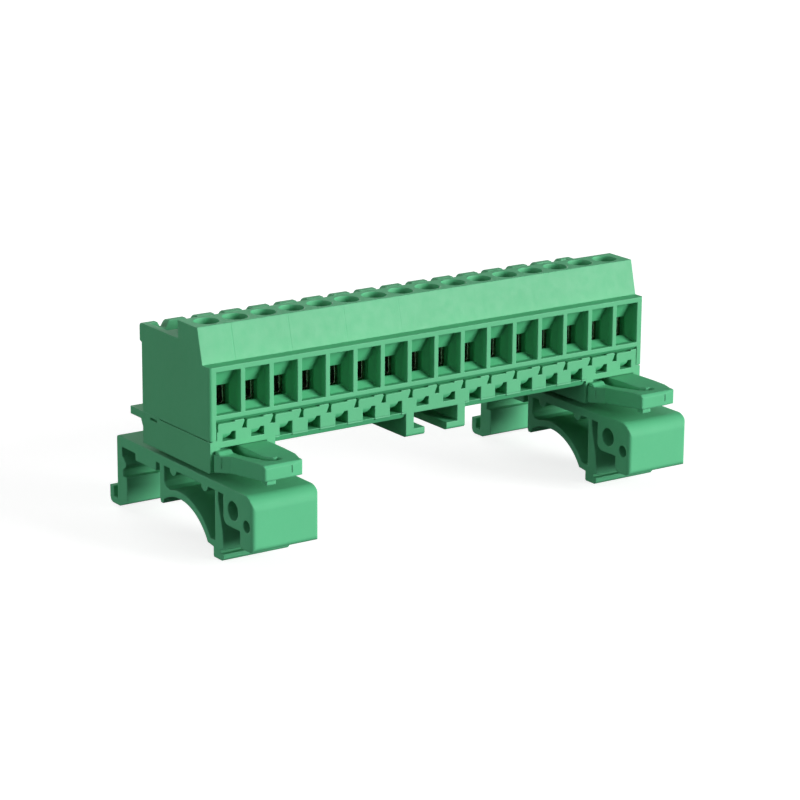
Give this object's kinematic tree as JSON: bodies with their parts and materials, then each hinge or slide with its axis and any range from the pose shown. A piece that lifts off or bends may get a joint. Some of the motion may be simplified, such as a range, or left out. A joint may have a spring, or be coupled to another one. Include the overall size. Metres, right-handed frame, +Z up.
{
  "type": "rail-mounted terminal strip",
  "caption": "Long green terminal strip with screw clamps behind a row of wire windows, an open plug trough at the rear and two slide-on feet that clip to a mounting rail.",
  "frame": {"origin": "under the middle of the whole outline, at the height of the undersides of the feet's front arms", "axes": "+X along the strip, +Y to the trough side at the rear, +Z up"},
  "size_m": [0.0828, 0.0438, 0.0349],
  "materials": {
    "housing_plastic": "satin moulded",
    "foot_plastic": "satin moulded",
    "screw_steel": "zinc plated",
    "cage_steel": "zinc plated",
    "contact_metal": "tin plated"
  },
  "bodies": {
    "strip": {"terminal_housing": "housing_plastic", "base_strip": "housing_plastic", "contact_1": "contact_metal", "contact_2": "contact_metal", "contact_3": "contact_metal", "contact_4": "contact_metal", "contact_5": "contact_metal", "contact_6": "contact_metal", "contact_7": "contact_metal", "contact_8": "contact_metal", "contact_9": "contact_metal", "contact_10": "contact_metal", "contact_11": "contact_metal", "contact_12": "contact_metal", "contact_13": "contact_metal", "contact_14": "contact_metal", "contact_15": "contact_metal", "contact_16": "contact_metal"},
    "foot_left": {"foot_left": "foot_plastic"},
    "foot_right": {"foot_right": "foot_plastic"},
    "screw_1": {"clamp_screw_1": "screw_steel"},
    "cage_1": {"clamp_cage_1": "cage_steel"},
    "screw_2": {"clamp_screw_2": "screw_steel"},
    "cage_2": {"clamp_cage_2": "cage_steel"},
    "screw_3": {"clamp_screw_3": "screw_steel"},
    "cage_3": {"clamp_cage_3": "cage_steel"},
    "screw_4": {"clamp_screw_4": "screw_steel"},
    "cage_4": {"clamp_cage_4": "cage_steel"},
    "screw_5": {"clamp_screw_5": "screw_steel"},
    "cage_5": {"clamp_cage_5": "cage_steel"},
    "screw_6": {"clamp_screw_6": "screw_steel"},
    "cage_6": {"clamp_cage_6": "cage_steel"},
    "screw_7": {"clamp_screw_7": "screw_steel"},
    "cage_7": {"clamp_cage_7": "cage_steel"},
    "screw_8": {"clamp_screw_8": "screw_steel"},
    "cage_8": {"clamp_cage_8": "cage_steel"},
    "screw_9": {"clamp_screw_9": "screw_steel"},
    "cage_9": {"clamp_cage_9": "cage_steel"},
    "screw_10": {"clamp_screw_10": "screw_steel"},
    "cage_10": {"clamp_cage_10": "cage_steel"},
    "screw_11": {"clamp_screw_11": "screw_steel"},
    "cage_11": {"clamp_cage_11": "cage_steel"},
    "screw_12": {"clamp_screw_12": "screw_steel"},
    "cage_12": {"clamp_cage_12": "cage_steel"},
    "screw_13": {"clamp_screw_13": "screw_steel"},
    "cage_13": {"clamp_cage_13": "cage_steel"},
    "screw_14": {"clamp_screw_14": "screw_steel"},
    "cage_14": {"clamp_cage_14": "cage_steel"},
    "screw_15": {"clamp_screw_15": "screw_steel"},
    "cage_15": {"clamp_cage_15": "cage_steel"},
    "screw_16": {"clamp_screw_16": "screw_steel"},
    "cage_16": {"clamp_cage_16": "cage_steel"}
  },
  "joints": [
    {"name": "foot_left_slide", "type": "slide", "parent": "strip", "child": "foot_left", "axis": [0, -1, 0], "range_m": [0, 0.019]},
    {"name": "foot_right_slide", "type": "slide", "parent": "strip", "child": "foot_right", "axis": [0, -1, 0], "range_m": [0, 0.019]},
    {"name": "screw_1_turn", "type": "hinge", "parent": "strip", "child": "screw_1", "pos_m": [-0.0381, -0.00298, 0.0311], "axis": [0, 0, -1], "range_deg": [0, 1800]},
    {"name": "screw_2_turn", "type": "hinge", "parent": "strip", "child": "screw_2", "pos_m": [-0.03302, -0.00298, 0.0311], "axis": [0, 0, -1], "range_deg": [0, 1800]},
    {"name": "screw_3_turn", "type": "hinge", "parent": "strip", "child": "screw_3", "pos_m": [-0.02794, -0.00298, 0.0311], "axis": [0, 0, -1], "range_deg": [0, 1800]},
    {"name": "screw_4_turn", "type": "hinge", "parent": "strip", "child": "screw_4", "pos_m": [-0.02286, -0.00298, 0.0311], "axis": [0, 0, -1], "range_deg": [0, 1800]},
    {"name": "screw_5_turn", "type": "hinge", "parent": "strip", "child": "screw_5", "pos_m": [-0.01778, -0.00298, 0.0311], "axis": [0, 0, -1], "range_deg": [0, 1800]},
    {"name": "screw_6_turn", "type": "hinge", "parent": "strip", "child": "screw_6", "pos_m": [-0.0127, -0.00298, 0.0311], "axis": [0, 0, -1], "range_deg": [0, 1800]},
    {"name": "screw_7_turn", "type": "hinge", "parent": "strip", "child": "screw_7", "pos_m": [-0.00762, -0.00298, 0.0311], "axis": [0, 0, -1], "range_deg": [0, 1800]},
    {"name": "screw_8_turn", "type": "hinge", "parent": "strip", "child": "screw_8", "pos_m": [-0.00254, -0.00298, 0.0311], "axis": [0, 0, -1], "range_deg": [0, 1800]},
    {"name": "screw_9_turn", "type": "hinge", "parent": "strip", "child": "screw_9", "pos_m": [0.00254, -0.00298, 0.0311], "axis": [0, 0, -1], "range_deg": [0, 1800]},
    {"name": "screw_10_turn", "type": "hinge", "parent": "strip", "child": "screw_10", "pos_m": [0.00762, -0.00298, 0.0311], "axis": [0, 0, -1], "range_deg": [0, 1800]},
    {"name": "screw_11_turn", "type": "hinge", "parent": "strip", "child": "screw_11", "pos_m": [0.0127, -0.00298, 0.0311], "axis": [0, 0, -1], "range_deg": [0, 1800]},
    {"name": "screw_12_turn", "type": "hinge", "parent": "strip", "child": "screw_12", "pos_m": [0.01778, -0.00298, 0.0311], "axis": [0, 0, -1], "range_deg": [0, 1800]},
    {"name": "screw_13_turn", "type": "hinge", "parent": "strip", "child": "screw_13", "pos_m": [0.02286, -0.00298, 0.0311], "axis": [0, 0, -1], "range_deg": [0, 1800]},
    {"name": "screw_14_turn", "type": "hinge", "parent": "strip", "child": "screw_14", "pos_m": [0.02794, -0.00298, 0.0311], "axis": [0, 0, -1], "range_deg": [0, 1800]},
    {"name": "screw_15_turn", "type": "hinge", "parent": "strip", "child": "screw_15", "pos_m": [0.03302, -0.00298, 0.0311], "axis": [0, 0, -1], "range_deg": [0, 1800]},
    {"name": "screw_16_turn", "type": "hinge", "parent": "strip", "child": "screw_16", "pos_m": [0.0381, -0.00298, 0.0311], "axis": [0, 0, -1], "range_deg": [0, 1800]},
    {"name": "cage_1_lift", "type": "slide", "parent": "strip", "child": "cage_1", "axis": [0, 0, 1], "range_m": [0, 0.00225]},
    {"name": "cage_2_lift", "type": "slide", "parent": "strip", "child": "cage_2", "axis": [0, 0, 1], "range_m": [0, 0.00225]},
    {"name": "cage_3_lift", "type": "slide", "parent": "strip", "child": "cage_3", "axis": [0, 0, 1], "range_m": [0, 0.00225]},
    {"name": "cage_4_lift", "type": "slide", "parent": "strip", "child": "cage_4", "axis": [0, 0, 1], "range_m": [0, 0.00225]},
    {"name": "cage_5_lift", "type": "slide", "parent": "strip", "child": "cage_5", "axis": [0, 0, 1], "range_m": [0, 0.00225]},
    {"name": "cage_6_lift", "type": "slide", "parent": "strip", "child": "cage_6", "axis": [0, 0, 1], "range_m": [0, 0.00225]},
    {"name": "cage_7_lift", "type": "slide", "parent": "strip", "child": "cage_7", "axis": [0, 0, 1], "range_m": [0, 0.00225]},
    {"name": "cage_8_lift", "type": "slide", "parent": "strip", "child": "cage_8", "axis": [0, 0, 1], "range_m": [0, 0.00225]},
    {"name": "cage_9_lift", "type": "slide", "parent": "strip", "child": "cage_9", "axis": [0, 0, 1], "range_m": [0, 0.00225]},
    {"name": "cage_10_lift", "type": "slide", "parent": "strip", "child": "cage_10", "axis": [0, 0, 1], "range_m": [0, 0.00225]},
    {"name": "cage_11_lift", "type": "slide", "parent": "strip", "child": "cage_11", "axis": [0, 0, 1], "range_m": [0, 0.00225]},
    {"name": "cage_12_lift", "type": "slide", "parent": "strip", "child": "cage_12", "axis": [0, 0, 1], "range_m": [0, 0.00225]},
    {"name": "cage_13_lift", "type": "slide", "parent": "strip", "child": "cage_13", "axis": [0, 0, 1], "range_m": [0, 0.00225]},
    {"name": "cage_14_lift", "type": "slide", "parent": "strip", "child": "cage_14", "axis": [0, 0, 1], "range_m": [0, 0.00225]},
    {"name": "cage_15_lift", "type": "slide", "parent": "strip", "child": "cage_15", "axis": [0, 0, 1], "range_m": [0, 0.00225]},
    {"name": "cage_16_lift", "type": "slide", "parent": "strip", "child": "cage_16", "axis": [0, 0, 1], "range_m": [0, 0.00225]}
  ],
  "couplings": [
    {"joint": "screw_1_turn", "follows": "cage_1_lift", "rad_per_m": 13962},
    {"joint": "screw_2_turn", "follows": "cage_2_lift", "rad_per_m": 13962},
    {"joint": "screw_3_turn", "follows": "cage_3_lift", "rad_per_m": 13962},
    {"joint": "screw_4_turn", "follows": "cage_4_lift", "rad_per_m": 13962},
    {"joint": "screw_5_turn", "follows": "cage_5_lift", "rad_per_m": 13962},
    {"joint": "screw_6_turn", "follows": "cage_6_lift", "rad_per_m": 13962},
    {"joint": "screw_7_turn", "follows": "cage_7_lift", "rad_per_m": 13962},
    {"joint": "screw_8_turn", "follows": "cage_8_lift", "rad_per_m": 13962},
    {"joint": "screw_9_turn", "follows": "cage_9_lift", "rad_per_m": 13962},
    {"joint": "screw_10_turn", "follows": "cage_10_lift", "rad_per_m": 13962},
    {"joint": "screw_11_turn", "follows": "cage_11_lift", "rad_per_m": 13962},
    {"joint": "screw_12_turn", "follows": "cage_12_lift", "rad_per_m": 13962},
    {"joint": "screw_13_turn", "follows": "cage_13_lift", "rad_per_m": 13962},
    {"joint": "screw_14_turn", "follows": "cage_14_lift", "rad_per_m": 13962},
    {"joint": "screw_15_turn", "follows": "cage_15_lift", "rad_per_m": 13962},
    {"joint": "screw_16_turn", "follows": "cage_16_lift", "rad_per_m": 13962}
  ]
}
